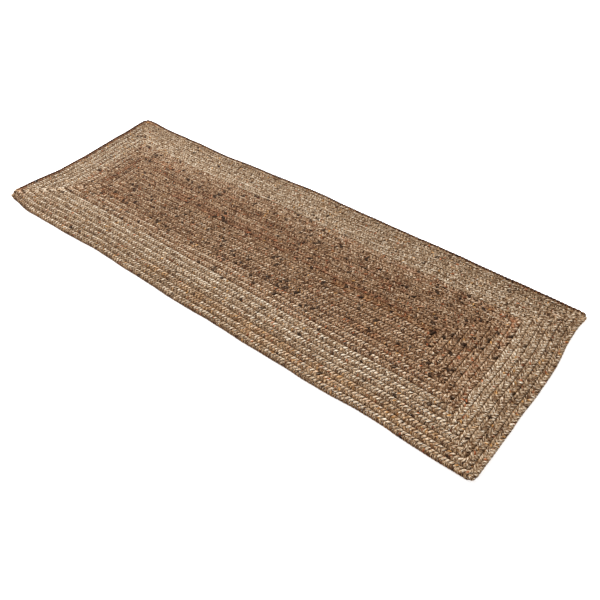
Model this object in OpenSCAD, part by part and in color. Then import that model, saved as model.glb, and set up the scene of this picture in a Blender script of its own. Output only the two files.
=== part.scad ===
/* [Rug] */
// Length of the rug, along X
rug_length = 2000; // [1600:10:3000]
// Width of the rug, along Y
rug_width = 700; // [560:10:1000]
// Thickness of the braid as it lies on a floor
braid_height = 10; // [9:0.5:14]
// Radius of the outermost braid's middle at the rug's corners, as a share of the pitch
corner_share = 0.6; // [0.58:0.02:1]

/* [Winding] */
// Turns of the darker field braid round the core run
field_turns = 8; // [2:1:10]
// Turns of the lighter border braid round the field, before its last run
border_turns = 6; // [2:1:8]

/* [Braid section] */
// Depth of the valley between a braid's two rows of lobes
valley_depth = 3.2; // [1:0.2:3.4]
// Width of the slanted edge under each side of a braid
foot_inset = 2.6; // [1:0.2:3]

/* [Thread] */
// Gap between neighbouring courses, which the lacing thread fills
seam_gap = 1.4; // [0.8:0.2:1.8]
// Height of the lacing thread in its seam
lacing_height = 2; // [1:0.2:2]
// Length of the thread binding round a cut end of a braid
binding_length = 14; // [8:1:20]
// Thickness of the thread binding
binding_wall = 1.6; // [1:0.2:2]
// Length of loose strand ends that stand out past the tail's binding
tail_stub = 7; // [4:1:12]

/* [Hidden] */
turns = field_turns + border_turns;
// Lengths that set where runs meet are whole fiftieths of a millimetre, so their ends match
function snapped(length) = round(50 * length) / 50;
// Distance between the middles of neighbouring courses
pitch = snapped((rug_width + seam_gap) / (2 * turns + 2));
course_width = pitch - seam_gap;
core_length = rug_length + seam_gap - 2 * turns * pitch;
corner_radius = snapped(corner_share * pitch);

// The winding runs clockwise, seen from above. Turn 0 is the core run and each later turn is
// one near, one left, one far and one right run, so a turn ends where the next one starts.
// Headings of the runs, in degrees from +X
TO_RIGHT = 0;
TO_NEAR = -90;
TO_LEFT = 180;
TO_FAR = 90;

// Middles of the runs of turn k
core_y = pitch / 2;
core_start_x = turns * pitch - (rug_length + seam_gap) / 2;
core_corner_x = core_start_x + core_length - pitch / 2;
function near_y(k) = core_y - k * pitch;
function far_y(k) = core_y + k * pitch;
function left_x(k) = core_start_x + pitch / 2 - k * pitch;
function right_x(k) = core_corner_x + (k - 1) * pitch;

// A section is a list of [across, up] points, where across is positive to the left of the
// heading, which is the outer side of every run.
// A braid's section: a flat foot, upright sides and two half-ellipse lobes
lobe_steps = 6;
side_top = braid_height - valley_depth;
side_bottom = foot_inset;
function lobe(middle) = [
    for (i = [0 : lobe_steps - 1])
        let (a = 180 * i / lobe_steps)
        [middle + course_width / 4 * cos(a), side_top + valley_depth * sin(a)]
];
braid_section = concat(
    [[-course_width / 2, side_bottom], [foot_inset - course_width / 2, 0]],
    [[course_width / 2 - foot_inset, 0], [course_width / 2, side_bottom]],
    lobe(course_width / 4),
    lobe(-course_width / 4),
    [[-course_width / 2, side_top]]
);

// The lacing thread lies in the seam on the inner side of its course
lacing_bottom = (side_bottom + side_top - lacing_height) / 2;
lacing_outer = (seam_gap - pitch) / 2;
lacing_inner = lacing_outer - seam_gap;
lacing_section = [
    [lacing_inner, lacing_bottom],
    [lacing_outer, lacing_bottom],
    [lacing_outer, lacing_bottom + lacing_height],
    [lacing_inner, lacing_bottom + lacing_height]
];

// A binding squeezes the braid to a neck
neck_width = course_width - 2 * binding_wall - foot_inset;
neck_bottom = binding_wall;
neck_height = side_top - 2 * binding_wall;

// The cut ends of the braids and the middles of their bindings, along X
splice_x = right_x(field_turns + 1) - pitch / 2 - binding_length / 2;
tail_x = tail_stub + binding_length / 2 - rug_length / 2;
core_end_x = core_start_x + seam_gap / 2;
start_x = core_end_x + binding_length / 2;
// How far a neck reaches into the full braid at each end of its binding
neck_root = 1;

// Length of a tool that cuts through the whole thickness
cut_height = 4 * braid_height;

FIELD = [0.59, 0.47, 0.36];
BORDER = [0.71, 0.60, 0.46];
EDGE = [0.64, 0.53, 0.40];
THREAD = [0.48, 0.37, 0.26];

// Draws its child, which heads along +X from the origin, from a point on another heading
module from_point(point, heading) {
    translate([point.x, point.y, 0])
        rotate(heading)
            children();
}

// A straight run of a section along +X, from one corner to the next. An end is cut square at
// its bend, or on the corner's diagonal where the bend radius is 0. On a run shorter than two
// courses the diagonals stop just before they meet.
module run(section, length, start_bend, end_bend) {
    outer = pitch;
    inner = min(pitch, length / 2 - seam_gap / 4);
    from = start_bend == 0 ? [-outer, inner] : [start_bend, start_bend];
    to = end_bend == 0 ? [length + outer, length - inner] : [length - end_bend, length - end_bend];
    intersection() {
        translate([-outer, 0, 0])
            rotate([90, 0, 90])
                linear_extrude(length + 2 * outer)
                    polygon(section);
        linear_extrude(cut_height, center = true)
            polygon([[from[0], outer], [from[1], -inner], [to[1], -inner], [to[0], outer]]);
    }
}

// A right-hand bend of a section round the corner at the origin, from heading +X
module bend(section, radius) {
    translate([-radius, -radius, 0])
        rotate_extrude(angle = 90)
            translate([radius, 0])
                polygon(section);
}

// The four runs of turn k: near, left, far and right. The outermost has two round corners.
module turn(k, section) {
    radius = k == turns ? corner_radius : 0;
    near_length = right_x(k) - left_x(k);
    left_length = far_y(k) - near_y(k);
    far_length = right_x(k + 1) - left_x(k);
    right_length = far_y(k) - near_y(k + 1);
    from_point([right_x(k), near_y(k)], TO_LEFT)
        run(section, near_length, 0, 0);
    from_point([left_x(k), near_y(k)], TO_FAR)
        run(section, left_length, 0, radius);
    from_point([left_x(k), far_y(k)], TO_RIGHT)
        run(section, far_length, radius, radius);
    from_point([right_x(k + 1), far_y(k)], TO_NEAR)
        run(section, right_length, radius, radius);
    if (radius > 0) {
        from_point([left_x(k), far_y(k)], TO_FAR)
            bend(section, radius);
        from_point([right_x(k + 1), far_y(k)], TO_RIGHT)
            bend(section, radius);
    }
}

// The last near run, round its corner and along to the tail
module last_run(section) {
    corner = [right_x(turns + 1), near_y(turns + 1)];
    from_point(corner, TO_NEAR)
        bend(section, corner_radius);
    from_point(corner, TO_LEFT)
        run(section, corner.x + rug_length / 2 + corner_radius, corner_radius, corner_radius);
}

// Puts a shape that is drawn as a section round a run's middle, where the run lies along X
module along_x(x, y, length) {
    translate([x - length / 2, y, 0])
        rotate([90, 0, 90])
            linear_extrude(length)
                children();
}

module neck_outline() {
    translate([-neck_width / 2, neck_bottom])
        square([neck_width, neck_height]);
}

// The braid given as a child, squeezed to its neck under a binding
module bound_at(x, y) {
    difference() {
        children();
        translate([x, y, 0])
            cube([binding_length, pitch + seam_gap, cut_height], center = true);
    }
    along_x(x, y, binding_length + 2 * neck_root)
        neck_outline();
}

module binding(x, y) {
    color(THREAD)
        along_x(x, y, binding_length)
            difference() {
                polygon(braid_section);
                neck_outline();
            }
}

// Core run and the short drop at its far end, on which the first turn is laid
module field_core() {
    color(FIELD) {
        from_point([core_end_x, core_y], TO_RIGHT)
            run(braid_section, core_corner_x - core_end_x, binding_length, 0);
        from_point([core_corner_x, core_y], TO_NEAR)
            run(braid_section, pitch, 0, 0);
        along_x(start_x + neck_root / 2, core_y, binding_length + neck_root)
            neck_outline();
    }
}

module field_turn(k) {
    color(FIELD)
        turn(k, braid_section);
}

// The first border turn starts just inside the corner at which the field braid ends
module border_turn(k) {
    color(k > border_turns - 2 ? EDGE : BORDER)
        if (k == 1)
            bound_at(splice_x, near_y(field_turns + 1))
                turn(field_turns + k, braid_section);
        else
            turn(field_turns + k, braid_section);
}

module border_last_run() {
    color(EDGE)
        bound_at(tail_x, near_y(turns + 1))
            last_run(braid_section);
}

module field_lacing(k) {
    color(THREAD)
        turn(k, lacing_section);
}

module border_lacing(k) {
    color(THREAD)
        if (k > border_turns)
            last_run(lacing_section);
        else
            turn(field_turns + k, lacing_section);
}

module start_binding() {
    binding(start_x, core_y);
}

module splice_binding() {
    binding(splice_x, near_y(field_turns + 1));
}

module tail_binding() {
    binding(tail_x, near_y(turns + 1));
}

field_core();
for (k = [1 : field_turns]) {
    field_turn(k);
    field_lacing(k);
}
for (k = [1 : border_turns]) {
    border_turn(k);
}
border_last_run();
for (k = [1 : border_turns + 1]) {
    border_lacing(k);
}
start_binding();
splice_binding();
tail_binding();
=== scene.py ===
import math

import bpy
import numpy as np
from mathutils import Matrix, Vector


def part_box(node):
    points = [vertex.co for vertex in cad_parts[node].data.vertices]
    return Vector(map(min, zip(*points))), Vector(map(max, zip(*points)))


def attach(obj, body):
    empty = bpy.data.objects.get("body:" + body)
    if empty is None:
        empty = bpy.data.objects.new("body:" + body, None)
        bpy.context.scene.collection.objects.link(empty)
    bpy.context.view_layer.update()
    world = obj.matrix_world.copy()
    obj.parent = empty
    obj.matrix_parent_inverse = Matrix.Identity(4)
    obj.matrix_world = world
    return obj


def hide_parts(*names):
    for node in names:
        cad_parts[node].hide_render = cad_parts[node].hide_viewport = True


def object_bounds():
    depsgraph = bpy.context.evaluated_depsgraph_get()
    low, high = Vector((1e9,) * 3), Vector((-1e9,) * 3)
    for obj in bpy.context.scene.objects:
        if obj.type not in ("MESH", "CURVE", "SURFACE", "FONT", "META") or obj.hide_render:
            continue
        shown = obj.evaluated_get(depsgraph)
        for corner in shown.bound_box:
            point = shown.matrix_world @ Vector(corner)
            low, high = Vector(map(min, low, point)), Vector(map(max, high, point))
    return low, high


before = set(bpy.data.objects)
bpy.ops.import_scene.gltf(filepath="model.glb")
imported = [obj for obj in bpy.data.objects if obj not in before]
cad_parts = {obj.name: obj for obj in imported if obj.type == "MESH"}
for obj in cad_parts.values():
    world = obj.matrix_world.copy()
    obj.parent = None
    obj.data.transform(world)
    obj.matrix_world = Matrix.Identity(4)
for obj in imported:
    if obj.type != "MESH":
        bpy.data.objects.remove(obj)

# A rug of one flat three-strand plait, wound in a rectangular spiral and laced edge to edge.
# Everything is in metres, in the frame of the CAD model, whose nodes give every place below.
# In names, left and right are the short ends at low and high x, near and far the long edges at
# low and high y. Each turn of the winding runs along the near, left, far and right sides.

cad_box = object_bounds()
rng = np.random.default_rng(20)

# ---------------------------------------------------------------- layout, from the CAD nodes

FIELD_TURNS = sum(name.startswith("field_turn_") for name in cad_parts)
BORDER_TURNS = sum(name.startswith("border_turn_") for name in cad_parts)
TURNS = FIELD_TURNS + BORDER_TURNS
LAST_RUN = TURNS + 1

first_low, first_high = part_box("field_turn_1")
PITCH = first_low.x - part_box("field_turn_2")[0].x
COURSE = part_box("field_lacing_1")[0].x - first_low.x
HEIGHT = cad_box[1].z
CORE_Y = first_high.y - COURSE / 2 - PITCH
CORE_START_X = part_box("start_binding")[0].x
TAIL_X = cad_box[0].x
RUG = cad_box[1] - cad_box[0]


def near_y(turn):
    return CORE_Y - turn * PITCH


def far_y(turn):
    return CORE_Y + turn * PITCH


def left_x(turn):
    return first_low.x + COURSE / 2 - (turn - 1) * PITCH


def right_x(turn):
    return first_high.x - COURSE / 2 + (turn - 2) * PITCH


def node_of(turn):
    """The CAD node that holds this turn of the plait. Turn 0 is the straight core."""
    if turn == 0:
        return "field_core"
    if turn <= FIELD_TURNS:
        return f"field_turn_{turn}"
    if turn < LAST_RUN:
        return f"border_turn_{turn - FIELD_TURNS}"
    return "border_last_run"


def corners():
    """The corners of the winding, in order, and the number of the corner that ends each turn."""
    points = [(CORE_START_X, CORE_Y), (right_x(1), CORE_Y), (right_x(1), near_y(1))]
    ends = [2]
    for turn in range(1, LAST_RUN):
        points += [
            (left_x(turn), near_y(turn)),
            (left_x(turn), far_y(turn)),
            (right_x(turn + 1), far_y(turn)),
            (right_x(turn + 1), near_y(turn + 1)),
        ]
        ends.append(len(points) - 1)
    points.append((TAIL_X, near_y(LAST_RUN)))
    ends.append(len(points) - 1)
    return np.array(points), ends


# ---------------------------------------------------------------- the winding's centre line

INNER_BEND = 0.44 * PITCH
OUTER_BEND = 0.62 * PITCH
MITRE_REACH = 0.95 * PITCH
OUTER_MITRE = 0.25  # the rug's own corners are rounded, so their mitres are weak


def smooth(x):
    """0 below 0, 1 above 1, and a smooth step between."""
    x = np.clip(x, 0.0, 1.0)
    return x * x * (3 - 2 * x)


def part(least, share):
    """least where the share is 0, and 1 where it is 1."""
    return least + (1 - least) * share


class Winding:
    """The centre line of the winding, by its length from the start of the core."""

    def __init__(self):
        self.corners, ends = corners()
        steps = np.diff(self.corners, axis=0)
        lengths = np.hypot(*steps.T)
        self.headings = steps / lengths[:, None]
        count = len(self.corners)
        self.bends = np.full(count, INNER_BEND)
        self.mitres = np.ones(count)
        outermost = slice(ends[TURNS] - 2, ends[TURNS] + 1)
        self.bends[outermost] = OUTER_BEND
        self.mitres[outermost] = OUTER_MITRE
        self.bends[[0, -1]] = 0.0
        # where each bend's middle lies along the line
        self.arcs = self.bends * math.pi / 2
        legs = lengths - self.bends[:-1] - self.bends[1:]
        steps_on = legs + (self.arcs[:-1] + self.arcs[1:]) / 2
        self.middles = np.concatenate([[0.0], np.cumsum(steps_on)])
        self.length = self.middles[-1]
        gaps = np.concatenate([[math.inf], np.diff(self.middles), [math.inf]])
        self.reach = np.minimum(MITRE_REACH, np.minimum(gaps[:-1], gaps[1:]) / 2)
        self.turn_ends = [self.middles[i] for i in ends]

    def span(self, turn):
        """Where a turn starts and ends along the line."""
        start = 0.0 if turn == 0 else self.turn_ends[turn - 1]
        return start, self.turn_ends[turn]

    def at(self, s):
        """Places, and the outward direction of a course, which is longer than 1 across a mitre."""
        near = np.searchsorted((self.middles[1:] + self.middles[:-1]) / 2, s)
        offset = s - self.middles[near]
        place = np.empty((len(s), 2))
        outward = np.empty((len(s), 2))
        for i in np.unique(near):
            here = near == i
            d = offset[here][:, None]
            before = self.headings[max(i - 1, 0)]
            after = self.headings[min(i, len(self.headings) - 1)]
            left_before = np.array([-before[1], before[0]])
            left_after = np.array([-after[1], after[0]])
            corner, bend, arc = self.corners[i], self.bends[i], self.arcs[i]
            if bend == 0:
                place[here] = corner + before * d
                outward[here] = left_before
                continue
            turn = np.clip((d + arc / 2) / arc, 0, 1) * math.pi / 2
            left = left_before * np.cos(turn) + left_after * np.sin(turn)
            centre = corner - bend * before - bend * left_before
            past = np.maximum(np.abs(d) - arc / 2, 0) * np.sign(d)
            heading = before * np.cos(turn) + after * np.sin(turn)
            place[here] = centre + bend * left + heading * past
            u = d / self.reach[i]
            diagonal = left_before * (1 - smooth(u)) + left_after * smooth(u + 1)
            outward[here] = left + (diagonal - left) * self.mitres[i]
        return place, outward


winding = Winding()

# ---------------------------------------------------------------- small irregularities

WAVES = ((0.0016, 0.62), (0.0012, 0.29), (0.0004, 0.11))  # wander, as (size, wave length)
END_WANDER = 0.8  # the share of it by which the two short ends stray apart
SLIDE = 0.3  # and the share by which everything slides along x
LONG_EDGE_FADE = 1.4  # the power by which a long edge's stray fades towards the middle
SHORT_EDGE_FADE = 2  # and a short edge's
LIFT = 0.004  # the most that a corner stands off the floor
LIFT_FADE = 12  # the power by which the lift fades from the edges inwards
CORNER_FADE = 2  # and from the corners along the edges
RIPPLE_X = 9.0  # the lift's ripple, in radians per metre
RIPPLE_Y = 4.0

# how far each edge strays outward, as (place along the edge, distance)
NEAR_BOW = (
    (-0.97, -0.002), (-0.86, 0.008), (-0.6, 0.003), (-0.4, -0.001),
    (0.1, 0.004), (0.45, 0.002), (0.66, -0.002), (0.95, 0.004),
)
FAR_BOW = (
    (-0.96, 0.004), (-0.85, -0.006), (-0.56, -0.006), (-0.35, 0.0),
    (0.02, 0.010), (0.3, 0.003), (0.6, 0.0), (0.93, -0.006),
)
LEFT_BOW = (
    (-0.345, -0.002), (-0.32, 0.015), (-0.26, 0.009), (-0.11, -0.010),
    (0.03, -0.016), (0.2, -0.009), (0.33, -0.004),
)
RIGHT_BOW = (
    (-0.33, -0.001), (-0.12, 0.002), (-0.01, 0.006), (0.1, 0.004),
    (0.21, -0.003), (0.28, -0.004), (0.335, 0.001),
)


def bow(stops, place):
    """The stray at each place, with no kinks at the stops."""
    knots, sizes = np.array(stops).T
    left = np.clip(np.searchsorted(knots, place) - 1, 0, len(knots) - 2)
    share = smooth((place - knots[left]) / (knots[left + 1] - knots[left]))
    return sizes[left] + (sizes[left + 1] - sizes[left]) * share


class Lie:
    """How the rug lies: its courses and edges wander a little, and corners stand off the floor."""

    def __init__(self):
        self.phases = rng.random((4, len(WAVES)))

    def wave(self, row, x):
        """One of four waves of the wander, at each place."""
        return sum(
            size * np.sin(2 * math.pi * (x / length + phase))
            for (size, length), phase in zip(WAVES, self.phases[row], strict=True)
        )

    def __call__(self, points):
        """The points of the straight, flat rug, moved to where they lie."""
        x, y, z = points.T
        across, along = y / (RUG.y / 2), x / (RUG.x / 2)
        far = np.maximum(across, 0) ** LONG_EDGE_FADE
        near = np.maximum(-across, 0) ** LONG_EDGE_FADE
        right = np.maximum(along, 0) ** SHORT_EDGE_FADE
        left = np.maximum(-along, 0) ** SHORT_EDGE_FADE
        move_y = self.wave(0, x) * (1 - across**2) + self.wave(1, x) * across
        move_y = move_y + far * bow(FAR_BOW, x) - near * bow(NEAR_BOW, x)
        move_x = self.wave(2, y) * along * END_WANDER + self.wave(3, y) * SLIDE
        move_x = move_x + right * bow(RIGHT_BOW, y) - left * bow(LEFT_BOW, y)
        edge = np.clip(np.maximum(np.abs(across), np.abs(along)), 0, 1) ** LIFT_FADE
        ripple = 0.5 + 0.5 * np.sin(RIPPLE_X * x + RIPPLE_Y * y)
        lift = LIFT * edge * ripple * np.abs(across * along) ** CORNER_FADE
        return np.stack([x + move_x, y + move_y, z + lift], -1)


lie = Lie()


def along_noise(s, spacing, size):
    """Noise that changes smoothly along the line, with a value every so often."""
    knots = np.arange(s[0] - spacing, s[-1] + 2 * spacing, spacing)
    return np.interp(s, knots, rng.normal(0, size, len(knots)))


# ---------------------------------------------------------------- mesh building


def tube(name, rings, along, round_steps, values):
    """A closed mesh of rings, each a loop of points, with a UV map in metres along and round."""
    count, sides = rings.shape[:2]
    index = np.arange(count * sides).reshape(count, sides)
    a, b = index[:-1], index[1:]
    quads = np.stack([a, b, np.roll(b, -1, 1), np.roll(a, -1, 1)], -1).reshape(-1, 4)
    caps = [index[0], index[-1][::-1]]
    loops = np.concatenate([quads.ravel(), *caps])
    starts = np.concatenate(
        [np.arange(len(quads)) * 4, len(quads) * 4 + np.arange(2) * sides]
    )
    mesh = bpy.data.meshes.new(name)
    mesh.vertices.add(count * sides)
    mesh.vertices.foreach_set("co", rings.reshape(-1).astype(np.float32))
    mesh.loops.add(len(loops))
    mesh.loops.foreach_set("vertex_index", loops.astype(np.int32))
    mesh.polygons.add(len(starts))
    mesh.polygons.foreach_set("loop_start", starts.astype(np.int32))
    mesh.update(calc_edges=True)
    mesh.polygons.foreach_set("use_smooth", np.ones(len(starts), bool))

    u = np.repeat(along[:, None], sides, 1)
    v = np.arange(sides + 1) * round_steps
    quad_u = np.stack([u[:-1], u[1:], u[1:], u[:-1]], -1)
    low = np.broadcast_to(v[:-1], (count - 1, sides))
    high = np.broadcast_to(v[1:], (count - 1, sides))
    quad_v = np.stack([low, low, high, high], -1)
    cap_u = np.concatenate([np.full(sides, along[0]), np.full(sides, along[-1])])
    cap_v = np.concatenate([v[:-1], v[:-1]])
    uv = np.stack(
        [np.concatenate([quad_u.ravel(), cap_u]), np.concatenate([quad_v.ravel(), cap_v])], -1
    )
    layer = mesh.uv_layers.new(name="strand")
    layer.uv.foreach_set("vector", uv.ravel().astype(np.float32))
    for key, value in values.items():
        data = mesh.attributes.new(key, "FLOAT", "POINT")
        data.data.foreach_set("value", np.asarray(value, np.float32).reshape(-1))
    made = bpy.data.objects.new(name, mesh)
    bpy.context.scene.collection.objects.link(made)
    return made


LEAST_LIGHT = 0.50
DARK_HEIGHT = 0.35  # up to this share of the rug's height only the least light gets in
LIGHT_HEIGHT = 0.92  # and from this one all of it


def depth_shade(height):
    """The light that reaches each height between the strands."""
    share = (height - DARK_HEIGHT) / (LIGHT_HEIGHT - DARK_HEIGHT)
    return part(LEAST_LIGHT, np.clip(share, 0, 1))


def unit(v):
    return v / np.linalg.norm(v, axis=-1, keepdims=True)


def sweep(line, face, width, thickness, sides, lobes=0.0, lobe_turn=0.0):
    """Rings of an elliptic section along a 3-D line.

    face is the way the flat side looks. lobes is the size of three low lobes, as a share of the
    section, and lobe_turn is how far they have turned at each point.
    """
    heading = unit(np.gradient(line, axis=0))
    face = unit(face - heading * np.sum(face * heading, -1, keepdims=True))
    across = np.cross(heading, face)
    angle = np.arange(sides) * 2 * math.pi / sides
    size = 1 + lobes * np.cos(3 * angle[None, :] - np.asarray(lobe_turn).reshape(-1, 1))
    wide = (width / 2 * np.ones(len(line)))[:, None] * np.cos(angle) * size
    thick = (thickness / 2 * np.ones(len(line)))[:, None] * np.sin(angle) * size
    return (
        line[:, None, :]
        + across[:, None, :] * wide[..., None]
        + face[:, None, :] * thick[..., None]
    )


# ---------------------------------------------------------------- materials


def add(tree, kind, inputs=None, **settings):
    """A new shader node. Each input is a value, or a socket to link it to."""
    made = tree.nodes.new(kind)
    for key, value in settings.items():
        setattr(made, key, value)
    for key, value in (inputs or {}).items():
        if isinstance(value, bpy.types.NodeSocket):
            tree.links.new(value, made.inputs[key])
        else:
            made.inputs[key].default_value = value
    return made


def maths(tree, operation, a, b, clamp=False):
    made = add(tree, "ShaderNodeMath", {0: a, 1: b}, operation=operation, use_clamp=clamp)
    return made.outputs[0]


def mixed(tree, factor, a, b, blend="MIX"):
    """a blended with b by the factor. Each is a colour or a socket."""
    made = add(
        tree, "ShaderNodeMix", {"Factor": factor}, data_type="RGBA", blend_type=blend
    )
    for socket, value in ((made.inputs[6], a), (made.inputs[7], b)):
        if isinstance(value, bpy.types.NodeSocket):
            tree.links.new(value, socket)
        else:
            socket.default_value = (*value, 1)
    return made.outputs[2]


def ramp(tree, factor, stops):
    """The colour at the factor, between stops of (place, colour)."""
    made = add(tree, "ShaderNodeValToRGB", {"Fac": factor})
    elements = made.color_ramp.elements
    for element, (place, colour) in zip(elements, (stops[0], stops[-1]), strict=True):
        element.position, element.color = place, (*colour, 1)
    for place, colour in stops[1:-1]:
        elements.new(place).color = (*colour, 1)
    return made.outputs["Color"]


def attribute(tree, name):
    return add(tree, "ShaderNodeAttribute", attribute_name=name).outputs["Fac"]


# sizes of the pattern, as (features per metre along a strand, and round it)
FIBRES = (110, 900)
CLUMPS = (60, 330)
YARNS = (120, 480)  # slivers about 8 mm long and 2 mm wide
FLECKS = (85, 150)  # a fleck is about 9 mm long and 5 mm wide
FLECK_RIM = (0.30, 0.48)  # it fades out between these shares of a cell
YARN_CONTRAST = 0.84
FIBRE_CONTRAST = 0.8
CLUMP_CONTRAST = 0.6
DYE_CONTRAST = 2.2  # how much the clumps break up dye and bark
GAP = (0.35, 0.70)  # a yarn gives way to the gap beside it between these shares of a cell
GAP_LIGHT = 0.25
GREEN_FALL = 1.4  # shaded jute turns warmer: green and blue fall off by these powers
BLUE_FALL = 1.85
FIBRE_SPAN = (0.3, 0.7)  # the fibre noise lies between these, and roughness follows it
ROUGHNESS = (0.58, 0.88)
CLUMP_RELIEF = 0.8
GAP_RELIEF = 0.8
BUMP_STRENGTH = 0.9
BUMP_DEPTH = 0.0007
DYE_LIGHT = 0.1  # dye takes its brightness from the jute's own, and this much more

# dyes and bark, as (dark, bright)
RUST = ((0.12, 0.032, 0.012), (0.56, 0.20, 0.08))
GOLD = ((0.18, 0.08, 0.022), (0.80, 0.46, 0.17))
BARK = ((0.020, 0.008, 0.002), (0.050, 0.022, 0.007))


def jute(name, stops, flecks, twist):
    """Jute: slivers of fibre with gaps between them, dyed stretches and bark, and flecks.

    stops are the colours from dark to bright, and flecks are each (share, (dark, bright)).
    twist is how far the pattern goes round the strand for each metre along it, in metres.
    """
    material = bpy.data.materials.new(name)
    material.use_nodes = True
    tree = material.node_tree
    tree.nodes.clear()
    uv = add(tree, "ShaderNodeUVMap", uv_map="strand").outputs[0]
    parts = add(tree, "ShaderNodeSeparateXYZ", {0: uv})
    along = parts.outputs[0]
    around = maths(tree, "ADD", parts.outputs[1], maths(tree, "MULTIPLY", along, twist))

    def stretched(scale, shift):
        x = maths(tree, "MULTIPLY", along, scale[0])
        y = maths(tree, "MULTIPLY", around, scale[1])
        return add(tree, "ShaderNodeCombineXYZ", {0: x, 1: y, 2: shift}).outputs[0]

    def noise(scale, detail, shift):
        inputs = {"Vector": stretched(scale, shift), "Scale": 1.0, "Detail": detail}
        return add(tree, "ShaderNodeTexNoise", inputs).outputs["Fac"]

    def cells(scale):
        """The distance from the middle of each cell, and the cell's own random values."""
        inputs = {"Vector": stretched(scale, 0.5), "Scale": 1.0}
        made = add(tree, "ShaderNodeTexVoronoi", inputs, voronoi_dimensions="2D").outputs
        kinds = add(tree, "ShaderNodeSeparateColor", {"Color": made["Color"]}).outputs
        return made["Distance"], kinds

    def swing(value, size):
        """A value round 0 from one round a half."""
        return maths(tree, "MULTIPLY", maths(tree, "SUBTRACT", value, 0.5), size)

    def spanned(value, span, at_low, at_high):
        ends = {"From Min": span[0], "From Max": span[1], "To Min": at_low, "To Max": at_high}
        return add(tree, "ShaderNodeMapRange", {"Value": value, **ends}).outputs[0]

    fibre = noise(FIBRES, 2.0, 0.0)
    clump = noise(CLUMPS, 1.0, 5.0)
    fleck_distance, fleck_kinds = cells(FLECKS)
    yarn_distance, yarn_kinds = cells(YARNS)
    value = maths(tree, "ADD", attribute(tree, "tone"), swing(yarn_kinds[0], YARN_CONTRAST))
    value = maths(tree, "ADD", value, swing(fibre, FIBRE_CONTRAST))
    value = maths(tree, "ADD", value, swing(clump, CLUMP_CONTRAST))
    colour = ramp(tree, value, stops)

    # dye and bark come from the mesh, in patches, and flecks lie anywhere
    spread = maths(tree, "ADD", 1.0, swing(clump, DYE_CONTRAST))
    light = maths(tree, "ADD", value, DYE_LIGHT, clamp=True)
    for key, (dark, bright) in (("rust", RUST), ("gold", GOLD), ("bark", BARK)):
        share = maths(tree, "MULTIPLY", attribute(tree, key), spread, clamp=True)
        colour = mixed(tree, share, colour, mixed(tree, light, dark, bright))
    fleck = spanned(fleck_distance, FLECK_RIM, 1.0, 0.0)
    for kind, (share, (dark, bright)) in zip(fleck_kinds, flecks, strict=True):
        here = maths(tree, "MULTIPLY", maths(tree, "LESS_THAN", kind, share), fleck)
        colour = mixed(tree, here, colour, mixed(tree, light, dark, bright))

    # painted shade: dark gaps between the yarns of a strand, and where strands dip under each
    # other
    gap = spanned(yarn_distance, GAP, 1.0, GAP_LIGHT)
    red = maths(tree, "MULTIPLY", gap, attribute(tree, "shade"))
    green = maths(tree, "POWER", red, GREEN_FALL)
    blue = maths(tree, "POWER", red, BLUE_FALL)
    shade = add(tree, "ShaderNodeCombineColor", {0: red, 1: green, 2: blue}).outputs[0]
    colour = mixed(tree, 1.0, colour, shade, "MULTIPLY")

    relief = maths(tree, "ADD", fibre, maths(tree, "MULTIPLY", clump, CLUMP_RELIEF))
    relief = maths(tree, "ADD", relief, maths(tree, "MULTIPLY", gap, GAP_RELIEF))
    bump = {"Strength": BUMP_STRENGTH, "Distance": BUMP_DEPTH, "Height": relief}
    surface = add(
        tree,
        "ShaderNodeBsdfPrincipled",
        {
            "Base Color": colour,
            "Roughness": spanned(fibre, FIBRE_SPAN, *ROUGHNESS),
            "Normal": add(tree, "ShaderNodeBump", bump).outputs[0],
            "Specular IOR Level": 0.10,
            "Sheen Weight": 0.015,
            "Sheen Roughness": 0.5,
        },
    )
    output = add(tree, "ShaderNodeOutputMaterial")
    tree.links.new(surface.outputs[0], output.inputs["Surface"])
    return material


STRAND_TWIST = 0.45
THREAD_TWIST = 0.9

FIELD_JUTE = jute(
    "field_jute",
    (
        (0.0, (0.070, 0.027, 0.009)),
        (0.35, (0.268, 0.152, 0.077)),
        (0.65, (0.495, 0.342, 0.215)),
        (1.0, (0.84, 0.72, 0.57)),
    ),
    flecks=((0.020, BARK), (0.045, RUST), (0.012, GOLD)),
    twist=STRAND_TWIST,
)
BORDER_JUTE = jute(
    "border_jute",
    (
        (0.0, (0.085, 0.040, 0.016)),
        (0.35, (0.31, 0.206, 0.118)),
        (0.65, (0.56, 0.433, 0.300)),
        (1.0, (0.90, 0.83, 0.70)),
    ),
    flecks=((0.010, BARK), (0.020, RUST), (0.025, GOLD)),
    twist=STRAND_TWIST,
)
EDGE_JUTE = jute(
    "edge_jute",
    (
        (0.0, (0.070, 0.032, 0.013)),
        (0.35, (0.295, 0.194, 0.110)),
        (0.65, (0.53, 0.406, 0.275)),
        (1.0, (0.88, 0.79, 0.66)),
    ),
    flecks=((0.014, BARK), (0.035, RUST), (0.045, GOLD)),
    twist=STRAND_TWIST,
)
THREAD_JUTE = jute(
    "jute_thread",
    (
        (0.0, (0.10, 0.055, 0.03)),
        (0.4, (0.26, 0.16, 0.09)),
        (1.0, (0.52, 0.37, 0.23)),
    ),
    flecks=((0.004, BARK), (0.010, RUST), (0.010, GOLD)),
    twist=THREAD_TWIST,
)

# ---------------------------------------------------------------- the plait

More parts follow.
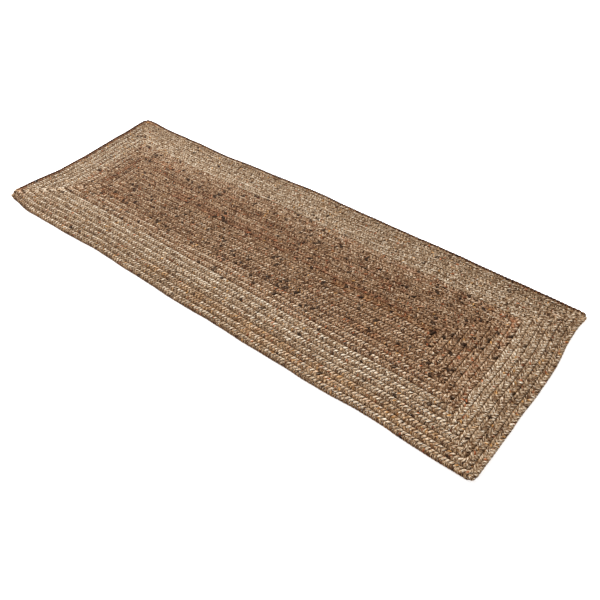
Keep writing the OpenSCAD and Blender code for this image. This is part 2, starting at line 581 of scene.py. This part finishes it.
STRANDS = 3
PLAIT_PERIOD = 1.52 * PITCH  # one strand's way from edge to edge and back
RINGS_PER_PERIOD = 14
SIDES = 10
STRAND_WIDTH = 0.0096
STRAND_THICKNESS = 0.0054
LOBES = 0.035  # a strand's section has three low lobes, which turn once in this length
LOBE_LENGTH = 0.021
PATTERN_RANGE = 20  # each strand starts somewhere in this many metres of the jute's pattern
EDGE_OVERLAP = 0.0009  # neighbouring courses are pressed together by this much
SWAY = (PITCH - STRAND_THICKNESS) / 2 + EDGE_OVERLAP
RISE = (HEIGHT - STRAND_THICKNESS) / 2
ROLL = 1.2  # how sharply a strand turns over at the edge of the plait
DIP = 1.3  # how sharply a strand dives under the next one
MITRE_FAT = 0.5  # how much of a mitre's extra width goes into the strands
END_REACH = 0.012  # the cut ends are rounded over this length
END_SIZE = 0.3  # the share of its size that the plait has at its very ends
NECK_START = 0.6  # a neck starts to widen at this distance from the middle of its binding
NECK_FADE = 1.6  # and is done this much further on, both in halves of the binding's length
NECK_SWAY = 0.5  # the shares that are left in a neck of the plait's sway,
NECK_RISE = 0.6  # of its rise,
NECK_FAT = 0.78  # and of its strands
BIND_HALF = (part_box("start_binding")[1].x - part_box("start_binding")[0].x) / 2

# noise along a strand, as (spacing, size)
FAT_NOISE = (0.03, 0.035)
SWAY_NOISE = (0.02, 0.0002)
PHASE_NOISE = (0.2, 0.02)
SLOW_TONE = (0.35, 0.04)
QUICK_TONE = (0.018, 0.05)
PATCH_NOISE = (0.014, 0.7)
RUST_NOISE = (0.045, 0.30)
GOLD_NOISE = (0.03, 0.18)
BORDER_RUST_NOISE = (0.045, 0.20)
BORDER_GOLD_NOISE = (0.03, 0.26)
LEAST_RUST = 0.28  # dye shows where its noise passes this
LEAST_GOLD = 0.26
OUTER_RUST = 0.4  # the share of the rust that the outer side of a course has
INNER_RUST = 0.75  # and what the inner side has on top of that
RUST_FADE = 0.3  # over this width round the middle of the course, in pitches
STRAND_TONE = 0.02  # how much one strand's tone differs from another's

BARK_SPACING = 0.26  # metres of strand for each scrap of bark
BORDER_BARK_SPACING = 1.4
BARK_REACH = (0.003, 0.007)
BARK_END = 1.6  # a scrap ends at this many of its reaches, and fades out over the last one

BINDINGS = {
    "start_binding": 0,
    "splice_binding": FIELD_TURNS + 1,
    "tail_binding": LAST_RUN,
}


def binding_place(name):
    """Where a binding's middle lies along the winding."""
    low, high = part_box(name)
    x = (low.x + high.x) / 2
    turn = BINDINGS[name]
    start, end = winding.span(turn)
    if turn == 0:
        return x - CORE_START_X
    if turn == LAST_RUN:
        return end - (x - TAIL_X)
    return start + INNER_BEND * math.pi / 4 + (right_x(turn) - INNER_BEND - x)


binding_places = [binding_place(name) for name in BINDINGS]


def neck(s):
    """0 under a binding, where the plait is squeezed, and 1 away from it."""
    share = np.ones_like(s)
    for place in binding_places:
        away = np.abs(s - place) / BIND_HALF
        share = np.minimum(share, smooth((away - NECK_START) / NECK_FADE))
    return share


def roundness(s):
    """0 at the two cut ends of the winding and 1 away from them, along a quarter of an ellipse."""
    from_end = np.clip(np.minimum(s, winding.length - s) / END_REACH, 0, 1)
    return np.sqrt(from_end * (2 - from_end))


FIRST_PHASE = math.pi / 3  # puts a strand at the outer side of the core's first bend
whole = np.linspace(0, winding.length, int(winding.length / PLAIT_PERIOD * RINGS_PER_PERIOD))
phase = FIRST_PHASE + 2 * math.pi * whole / PLAIT_PERIOD
phase = phase + np.cumsum(along_noise(whole, *PHASE_NOISE))

PAINTED_FALLOFF = 0.02  # painted shade: the right end is a little darker than the left, as the light falls off from the left
TURN_TONES = (0.43, 0.43, 0.43, 0.44, 0.42, 0.42, 0.46, 0.51, 0.50)
BORDER_TONES = (0.53, 0.52, 0.49, 0.48, 0.48, 0.485, 0.475)

# stretches of dyed jute: turn, from and to as a share of the turn, how rusty, how golden, how dark
STRETCHES = (
    (0, 0.70, 1.0, 0.30, 0.25, 0.05),
    (1, 0.55, 0.95, 0.30, 0.0, 0.07),
    (2, 0.55, 0.80, 0.22, 0.0, 0.06),
    (4, 0.50, 0.90, 0.12, 0.0, 0.07),
    (5, 0.02, 0.10, 0.28, 0.10, 0.06),
    (5, 0.36, 0.43, 0.45, 0.15, 0.0),
    (5, 0.43, 0.50, 0.35, 0.0, 0.10),
    (6, 0.50, 0.565, 0.50, 0.10, 0.0),
    (6, 0.615, 0.65, 0.35, 0.0, 0.0),
    (8, 0.79, 0.87, 0.20, 0.0, 0.0),
    (8, 0.87, 0.945, 0.38, 0.05, 0.0),
    (13, 0.0, 0.25, 0.05, 0.22, 0.0),
    (14, 0.0, 0.20, 0.10, 0.20, 0.0),
    (14, 0.355, 0.52, 0.30, 0.10, 0.08),
    (15, 0.93, 1.05, 0.15, 0.0, 0.22),
)
STRETCH_FADE = 0.02  # as a share of the turn
PATCH_MIDDLE = 0.6  # a stretch's dye comes in patches of about this strength
PATCH_LIMIT = 1.5  # and at most this one


def bark_spots(s, spacing):
    """1 where a scrap of dark bark is caught in the strand, at random places, and 0 between."""
    count = rng.poisson((s[-1] - s[0]) / spacing)
    places, reaches = rng.uniform(s[0], s[-1], count), rng.uniform(*BARK_REACH, count)
    share = np.zeros_like(s)
    for place, reach in zip(places, reaches, strict=True):
        share = np.maximum(share, smooth(BARK_END - np.abs(s - place) / reach))
    return share


def strand_values(turn, s):
    """Tone, dye (rust, gold) and bark along one strand of one turn."""
    in_field = turn <= FIELD_TURNS
    tone = TURN_TONES[turn] if in_field else BORDER_TONES[turn - FIELD_TURNS - 1]
    # painted shade, darker towards the right end
    tone = tone - PAINTED_FALLOFF * winding.at(s)[0][:, 0] / (RUG.x / 2)
    tone = tone + along_noise(s, *SLOW_TONE) + along_noise(s, *QUICK_TONE)
    tone = tone + rng.normal(0, STRAND_TONE)
    rust = along_noise(s, *(RUST_NOISE if in_field else BORDER_RUST_NOISE))
    gold = along_noise(s, *(GOLD_NOISE if in_field else BORDER_GOLD_NOISE))
    rust, gold = np.clip(rust - LEAST_RUST, 0, 1), np.clip(gold - LEAST_GOLD, 0, 1)
    start, end = winding.span(turn)
    share = (s - start) / (end - start)
    for which, first, last, rusty, golden, dark in STRETCHES:
        if which == turn:
            here = smooth((share - first) / STRETCH_FADE) * smooth((last - share) / STRETCH_FADE)
            patch = here * np.clip(PATCH_MIDDLE + along_noise(s, *PATCH_NOISE), 0, PATCH_LIMIT)
            rust = np.clip(rust + rusty * patch, 0, 1)
            gold = np.clip(gold + golden * patch, 0, 1)
            tone = tone - dark * here
    bark = bark_spots(s, BARK_SPACING if in_field else BORDER_BARK_SPACING)
    return tone, rust, gold, bark


UP = np.array([0, 0, 1.0])


def strand_line(s, theta, place, outward, side):
    """One strand's path through the plait, and the way its flat side looks."""
    loose = neck(s)
    sway = SWAY * part(NECK_SWAY, loose) * part(END_SIZE, roundness(s)) * np.sin(theta)
    sway = sway + along_noise(s, *SWAY_NOISE)
    rise = RISE * part(NECK_RISE, loose) * np.tanh(DIP * np.sin(2 * theta)) / math.tanh(DIP)
    line = np.column_stack([place + outward * sway[:, None], HEIGHT / 2 - rise])
    roll = math.pi / 2 * (1 + np.tanh(ROLL * np.cos(theta)) / math.tanh(ROLL))
    return line, side * np.sin(roll)[:, None] + UP * np.cos(roll)[:, None]


def strand_fat(s, outward):
    """How fat a strand is: thin in a neck and at a cut end, and fatter across a mitre."""
    fat = part(NECK_FAT, neck(s)) * (1 + along_noise(s, *FAT_NOISE))
    fat = fat * (1 + MITRE_FAT * (np.linalg.norm(outward, axis=1) - 1))
    return fat * part(END_SIZE, roundness(s))


GRAIN_PAINTED_SHEEN = 0.20  # painted sheen: fibres are painted paler where they lie one way than where they lie the other, as under light from the far left
GRAIN_EVEN = 0.6  # this much of it is the same on all sides of the rug
GRAIN_SIDES = 0.4  # and this much is added on the near and left sides, or taken off


def painted_grain_sheen(turn, line, side):
    """Painted sheen: what the way the fibres lie against the light from the far left adds to the
    tone. It is half as much in the inner field.
    """
    lean = unit(np.gradient(line[:, :2], axis=0))
    near_or_left = -np.sum(side, axis=1)
    size = GRAIN_PAINTED_SHEEN if turn > FIELD_TURNS - 2 else GRAIN_PAINTED_SHEEN / 2
    size = size * (GRAIN_EVEN + GRAIN_SIDES * near_or_left)
    return size * 2 * lean[:, 0] * lean[:, 1]


# shade across a course, in pitches outwards from its middle
RIM_START = -0.02  # where the painted shade on the rim of the outermost course starts
RIM_FADE = 0.2
RIM_PAINTED_SHADE = 0.78
RIM_MORE_LEFT = 0.2  # on the left side the rim starts this much further in
RIM_LESS_NEAR = 0.3  # and on the near side this much further out
RIM_NEAR_LIGHT = 0.5  # where it is also less dark, by this share
FLANK_START = 0.3  # beyond this the outermost course is open to the light from the side
FLANK_FADE = 0.15
SEAM_START = 0.38  # where the seam between two courses starts
SEAM_FADE = 0.1
SEAM_DARK = 0.18
outer_start = winding.middles[-5]  # the outermost round starts here


def strand_shade(s, rings, offset, side):
    """The light left at each point: less between strands, in seams, and painted shade on the rim
    of the outermost course.
    """
    outer = smooth((s - outer_start) / PITCH)[:, None]
    side_x, side_y = side[:, :1], side[:, 1:2]
    left, near = np.maximum(-side_x, 0), np.maximum(-side_y, 0)
    inset = RIM_MORE_LEFT * left - RIM_LESS_NEAR * near
    # painted shade on the outer rim of the outermost course: full on the left and far sides,
    # lighter on the near side, none on the right
    painted_rim_shade = smooth((offset - RIM_START + inset) / RIM_FADE) * outer
    painted_rim_shade = painted_rim_shade * (1 - RIM_NEAR_LIGHT * near - np.maximum(side_x, 0))  # none on the right side
    seam = smooth((np.abs(offset) - SEAM_START) / SEAM_FADE) * (1 - outer * (offset > 0))
    # on the far and right sides light gets in at the outer flank
    height = rings[..., 2] / HEIGHT
    open_flank = 0.5 + 0.5 * (side_x + side_y)
    lit = open_flank * outer * smooth((offset - FLANK_START) / FLANK_FADE)
    height = height + (1 - height) * lit
    return depth_shade(height) * (1 - RIM_PAINTED_SHADE * painted_rim_shade) * (1 - SEAM_DARK * seam)


def path_length(line):
    """The length along a line up to each of its points."""
    return np.concatenate([[0], np.cumsum(np.linalg.norm(np.diff(line, axis=0), axis=1))])


def plait_turn(turn, material):
    """The three strands of one turn of the plait."""
    start, end = winding.span(turn)
    s = np.linspace(start, end, int((end - start) / PLAIT_PERIOD * RINGS_PER_PERIOD) + 2)
    place, outward = winding.at(s)
    side = unit(np.column_stack([outward, np.zeros(len(s))]))
    each = np.ones((1, SIDES))
    for strand in range(STRANDS):
        theta = np.interp(s, whole, phase) + strand * 2 * math.pi / STRANDS
        line, face = strand_line(s, theta, place, outward, side)
        fat = strand_fat(s, outward)
        width, thickness = STRAND_WIDTH * fat, STRAND_THICKNESS * fat
        lobe_turn = 2 * math.pi * s / LOBE_LENGTH
        rings = sweep(line, face, width, thickness, SIDES, LOBES, lobe_turn)
        rings[..., 2] = np.clip(rings[..., 2], 0.0, HEIGHT)
        offset = np.sum((rings[..., :2] - place[:, None]) * side[:, None, :2], -1) / PITCH
        tone, rust, gold, bark = strand_values(turn, s)
        # painted sheen from the way the fibres lie against the light
        tone = tone + painted_grain_sheen(turn, line, side)
        values = {
            "tone": tone[:, None] * each,
            "rust": rust[:, None] * (OUTER_RUST + INNER_RUST * smooth(0.5 - offset / RUST_FADE)),
            "gold": gold[:, None] * each,
            "bark": bark[:, None] * each,
            "shade": strand_shade(s, rings, offset, side),
        }
        rings = lie(rings.reshape(-1, 3)).reshape(rings.shape)
        run = path_length(line) + rng.random() * PATTERN_RANGE
        perimeter = math.pi * (STRAND_WIDTH + STRAND_THICKNESS) / 2
        name = f"{node_of(turn)}_strand_{strand + 1}"
        made = tube(name, rings, run, perimeter / SIDES, values)
        made.data.materials.append(material)
        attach(made, "root")
        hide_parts(node_of(turn))


EDGE_TURNS = 2  # the border's last turns are of browner jute, and its last run too

for turn in range(LAST_RUN + 1):
    if turn <= FIELD_TURNS:
        plait_turn(turn, FIELD_JUTE)
    elif turn <= TURNS - EDGE_TURNS:
        plait_turn(turn, BORDER_JUTE)
    else:
        plait_turn(turn, EDGE_JUTE)

# ---------------------------------------------------------------- lacing and bindings

THREAD = 0.0024
THREAD_SIDES = 6
THREAD_TONE = 0.5
THREAD_NOISE = (0.03, 0.08)
LACE_WIDTH = 0.0052  # the lacing is pressed flat in its seam
LACE_BEAT = 1.5  # it zigzags this often in one period of the plait
LACE_SWAY = 0.0016
LACE_RISE = 0.0010
LACE_RINGS_PER_PERIOD = 15
WRAP_RINGS = 14
WRAP_POWER = 0.8  # below 1 the wraps are squarer than an ellipse
WRAP_INSET_Y = 0.9 * THREAD  # from the CAD binding's surface to the thread's middle
WRAP_INSET_Z = 0.6 * THREAD


def thread_piece(name, line, face, nodes, width):
    """A thread along a 3-D line."""
    rings = sweep(line, face, width, THREAD, THREAD_SIDES)
    height = rings[..., 2] / HEIGHT
    rings = lie(rings.reshape(-1, 3)).reshape(rings.shape)
    run = path_length(line)
    tone = THREAD_TONE + along_noise(run, *THREAD_NOISE)
    values = {"tone": np.repeat(tone, THREAD_SIDES), "shade": depth_shade(height)}
    values.update({key: np.zeros(height.shape) for key in ("rust", "gold", "bark")})
    made = tube(name, rings, run, math.pi * THREAD / THREAD_SIDES, values)
    made.data.materials.append(THREAD_JUTE)
    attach(made, "root")
    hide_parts(*nodes)


def lacing(name, first, last, nodes):
    """The thread that zigzags through the edge loops on the inner side of these turns."""
    start, end = winding.span(first)[0], winding.span(last)[1]
    s = np.arange(start, end, PLAIT_PERIOD / LACE_RINGS_PER_PERIOD)
    place, outward = winding.at(s)
    zigzag = np.interp(s, whole, phase) * LACE_BEAT
    sway = -PITCH / 2 + LACE_SWAY * np.sin(zigzag)
    rise = HEIGHT / 2 + LACE_RISE * np.sin(2 * zigzag)
    line = np.column_stack([place + outward * sway[:, None], rise])
    thread_piece(name, line, np.broadcast_to(UP, line.shape), nodes, LACE_WIDTH)


lacing(
    "field_lacing_thread", 1, FIELD_TURNS, [f"field_lacing_{k + 1}" for k in range(FIELD_TURNS)]
)
lacing(
    "border_lacing_thread",
    FIELD_TURNS + 1,
    LAST_RUN,
    [f"border_lacing_{k + 1}" for k in range(BORDER_TURNS + 1)],
)


def binding(name):
    """Thread wound round the squeezed plait at a cut end."""
    low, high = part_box(name)
    wraps = int((high.x - low.x) / THREAD)
    angle = np.linspace(0, wraps * 2 * math.pi, wraps * WRAP_RINGS)
    x = np.linspace(low.x + THREAD / 2, high.x - THREAD / 2, len(angle))
    middle = (low + high) / 2
    wide = (high.y - low.y) / 2 - WRAP_INSET_Y
    tall = (high.z - low.z) / 2 - WRAP_INSET_Z
    turn_y = np.sign(np.cos(angle)) * np.abs(np.cos(angle)) ** WRAP_POWER
    turn_z = np.sign(np.sin(angle)) * np.abs(np.sin(angle)) ** WRAP_POWER
    line = np.column_stack([x, middle.y + wide * turn_y, middle.z + tall * turn_z])
    out = np.column_stack([np.zeros(len(angle)), np.cos(angle), np.sin(angle)])
    thread_piece(name + "_thread", line, out, [name], THREAD)


for name in BINDINGS:
    binding(name)

# ---------------------------------------------------------------- floor, light and camera


FLOOR_SIZE = 60.0
FLOOR_DROP = 0.0003  # keeps the floor clear of the rug's flat underside
FLOOR_GLOW = 0.7  # whitens the floor to the photo's plain background


def studio_floor():
    """A plain white floor, large enough to fill the view from most sides."""
    bpy.ops.mesh.primitive_plane_add(size=FLOOR_SIZE, location=(0, 0, -FLOOR_DROP))
    floor = bpy.context.object
    floor.name = "studio_floor"
    material = bpy.data.materials.new("studio_floor")
    material.use_nodes = True
    shader = material.node_tree.nodes["Principled BSDF"]
    shader.inputs["Base Color"].default_value = (0.92, 0.92, 0.92, 1)
    shader.inputs["Roughness"].default_value = 0.9
    shader.inputs["Specular IOR Level"].default_value = 0.1
    shader.inputs["Emission Color"].default_value = (1.0, 1.0, 1.0, 1)
    shader.inputs["Emission Strength"].default_value = FLOOR_GLOW
    floor.data.materials.append(material)


def area_light(name, place, size, power):
    """A round lamp that shines at the middle of the rug."""
    data = bpy.data.lights.new(name, "AREA")
    data.shape = "DISK"
    data.size = size
    data.energy = power
    lamp = bpy.data.objects.new(name, data)
    lamp.location = place
    lamp.rotation_euler = (-Vector(place)).to_track_quat("-Z", "Y").to_euler()
    bpy.context.scene.collection.objects.link(lamp)


def sun_light(name, toward, strength, spread):
    """A sun that shines this way, and looks this many degrees wide."""
    data = bpy.data.lights.new(name, "SUN")
    data.energy = strength
    data.angle = math.radians(spread)
    lamp = bpy.data.objects.new(name, data)
    lamp.rotation_euler = Vector(toward).to_track_quat("-Z", "Y").to_euler()
    bpy.context.scene.collection.objects.link(lamp)


def world_light(strength):
    world = bpy.data.worlds.new("studio")
    world.use_nodes = True
    background = world.node_tree.nodes["Background"]
    background.inputs["Color"].default_value = (1.0, 1.0, 1.0, 1)
    background.inputs["Strength"].default_value = strength
    bpy.context.scene.world = world


CAMERA_PLACE = Vector((1.2187, -1.1704, 1.4335))
CAMERA_AZIMUTH = math.radians(42.1)
CAMERA_ELEVATION = math.radians(45.19)
CAMERA_ROLL = math.radians(-4.1)
LENS = 38.53
SENSOR = 36.0


def photo_camera():
    """A camera where the photo's was, by its place, the way it looks and its roll."""
    back = Vector(
        (
            math.sin(CAMERA_AZIMUTH) * math.cos(CAMERA_ELEVATION),
            -math.cos(CAMERA_AZIMUTH) * math.cos(CAMERA_ELEVATION),
            math.sin(CAMERA_ELEVATION),
        )
    )
    level = Vector((math.cos(CAMERA_AZIMUTH), math.sin(CAMERA_AZIMUTH), 0))
    rise = back.cross(level)
    right = level * math.cos(CAMERA_ROLL) + rise * math.sin(CAMERA_ROLL)
    up = back.cross(right)
    data = bpy.data.cameras.new("camera")
    data.lens = LENS
    data.sensor_width = SENSOR
    camera = bpy.data.objects.new("camera", data)
    turned = Matrix((right, up, back)).transposed().to_4x4()
    camera.matrix_world = Matrix.Translation(CAMERA_PLACE) @ turned
    bpy.context.scene.collection.objects.link(camera)
    bpy.context.scene.camera = camera


studio_floor()
world_light(strength=0.40)
sun_light("key", toward=(1.0, -1.0, -1.3), strength=4.0, spread=12.0)
area_light("side", place=(-2.0, -0.5, 2.0), size=1.2, power=40.0)
photo_camera()
bpy.context.scene.view_settings.view_transform = "Standard"
